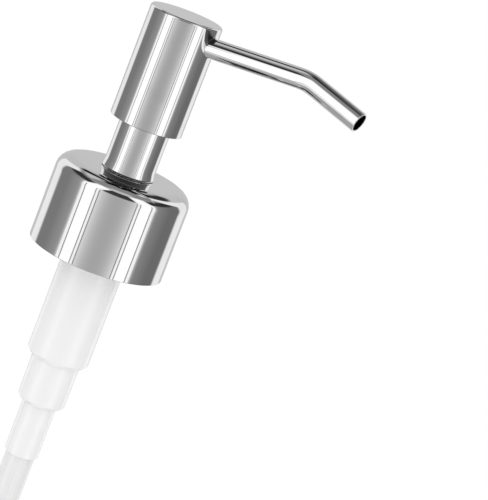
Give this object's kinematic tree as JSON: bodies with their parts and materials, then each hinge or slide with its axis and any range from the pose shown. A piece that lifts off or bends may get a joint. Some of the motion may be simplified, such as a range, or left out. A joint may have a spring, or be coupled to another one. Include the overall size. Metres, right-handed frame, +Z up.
{
  "type": "screw-neck dispensing pump",
  "caption": "Polished dispensing pump with a cylindrical press head, bent open spout, neck sleeve, rounded screw collar, stepped white pump housing and long dip tube.",
  "frame": {"origin": "on the pump axis in the plane of the bottle's rim, which is the gasket's underside", "axes": "+Z up the pump axis to the head, +X along the spout at rest"},
  "size_m": [0.073, 0.036, 0.2403],
  "materials": {
    "polished_steel": "mirror-polished stainless steel",
    "white_plastic": "moulded white polypropylene, satin gloss",
    "natural_plastic": "natural polyethylene, milky",
    "gasket_foam": "closed-cell foam",
    "seal_rubber": "moulded rubber",
    "spring_steel": "drawn stainless wire and ground balls"
  },
  "bodies": {
    "pump_body": {"housing": "white_plastic", "gasket": "gasket_foam", "neck_guide": "white_plastic", "neck_sleeve": "polished_steel", "stem_wiper": "seal_rubber", "spring_seat": "white_plastic", "dip_tube": "natural_plastic", "main_spring": "spring_steel"},
    "closure": {"collar_shell": "polished_steel", "threaded_liner": "white_plastic"},
    "plunger": {"stem": "white_plastic", "piston": "natural_plastic", "piston_retainer": "white_plastic"},
    "head": {"head_shell": "polished_steel", "actuator_core": "white_plastic", "spout_tube": "polished_steel", "spout_ring": "seal_rubber", "outlet_seat": "natural_plastic"},
    "inlet_valve": {"inlet_ball": "spring_steel"},
    "outlet_valve": {"outlet_ball": "spring_steel"}
  },
  "joints": [
    {"name": "plunger_slide", "type": "slide", "parent": "pump_body", "child": "plunger", "axis": [0, 0, -1], "range_m": [0, 0.012], "stiffness_N_per_m": 600, "springref_m": -0.008, "deforming": ["main_spring"]},
    {"name": "head_swivel", "type": "hinge", "parent": "plunger", "child": "head", "pos_m": [0, 0, 0.03], "axis": [0, 0, 1], "continuous": true},
    {"name": "closure_spin", "type": "hinge", "parent": "pump_body", "child": "closure", "pos_m": [0, 0, 0], "axis": [0, 0, 1], "continuous": true},
    {"name": "inlet_valve_lift", "type": "slide", "parent": "pump_body", "child": "inlet_valve", "axis": [0, 0, 1], "range_m": [0, 0.002]},
    {"name": "outlet_valve_lift", "type": "slide", "parent": "head", "child": "outlet_valve", "axis": [0, 0, 1], "range_m": [0, 0.0012]}
  ]
}
